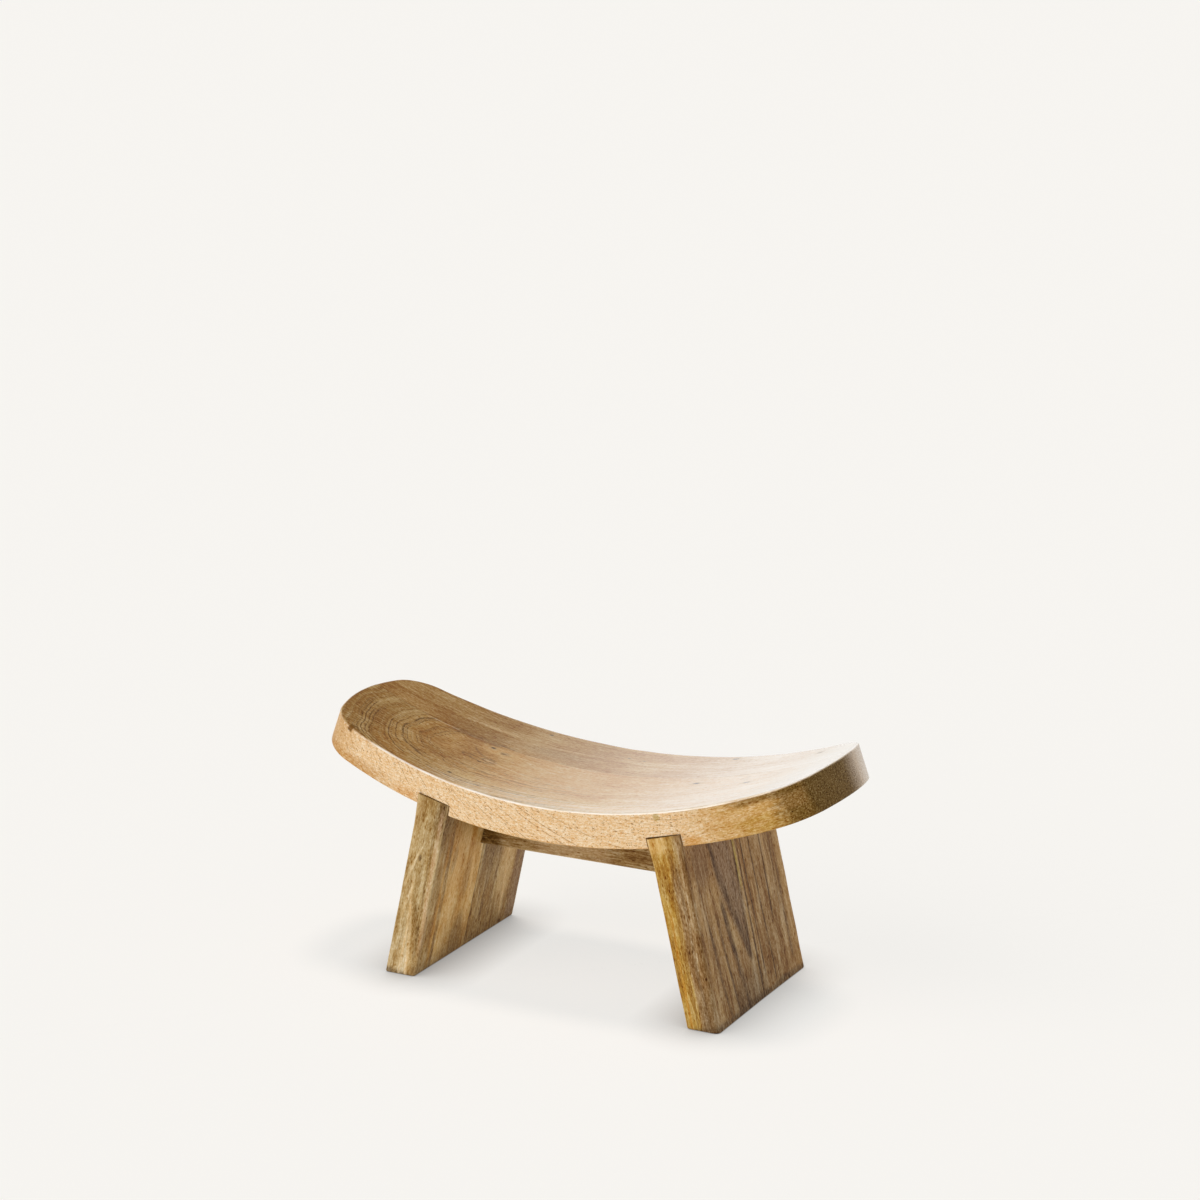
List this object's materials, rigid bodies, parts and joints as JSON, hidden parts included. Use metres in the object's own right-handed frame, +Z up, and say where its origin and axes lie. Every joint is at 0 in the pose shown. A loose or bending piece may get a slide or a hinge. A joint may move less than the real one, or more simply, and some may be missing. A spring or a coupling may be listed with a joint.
{
  "type": "yoga stool",
  "caption": "Low wooden yoga stool: a hollow curved seat on splayed plank legs let into its underside, tied by a stretcher rail.",
  "frame": {"origin": "on the floor, under the middle of the seat", "axes": "+Z up, +X along the seat to the right, front at -Y"},
  "size_m": [0.579, 0.2246, 0.2712],
  "materials": {
    "seat_front_wood": "satin lacquer over figured tan wood",
    "seat_rear_wood": "satin lacquer over greyer tan wood",
    "left_leg_wood": "satin lacquer over flecked yellow-brown wood",
    "right_leg_wood": "satin lacquer over streaked grey-brown wood",
    "rail_wood": "satin lacquer over darker brown wood",
    "dowel_wood": "bare hardwood"
  },
  "bodies": {
    "root": {"seat_front_board": "seat_front_wood", "seat_rear_board": "seat_rear_wood", "left_leg_front_board": "left_leg_wood", "left_leg_rear_board": "left_leg_wood", "right_leg_front_board": "right_leg_wood", "right_leg_rear_board": "right_leg_wood", "stretcher_rail": "rail_wood", "left_leg_dowel_1": "dowel_wood", "left_leg_dowel_2": "dowel_wood", "left_leg_dowel_3": "dowel_wood", "left_leg_dowel_4": "dowel_wood", "right_leg_dowel_1": "dowel_wood", "right_leg_dowel_2": "dowel_wood", "right_leg_dowel_3": "dowel_wood", "right_leg_dowel_4": "dowel_wood", "left_rail_dowel_1": "dowel_wood", "left_rail_dowel_2": "dowel_wood", "right_rail_dowel_1": "dowel_wood", "right_rail_dowel_2": "dowel_wood", "seat_rail_dowel_1": "dowel_wood", "seat_rail_dowel_2": "dowel_wood", "seat_rail_dowel_3": "dowel_wood"}
  },
  "joints": []
}
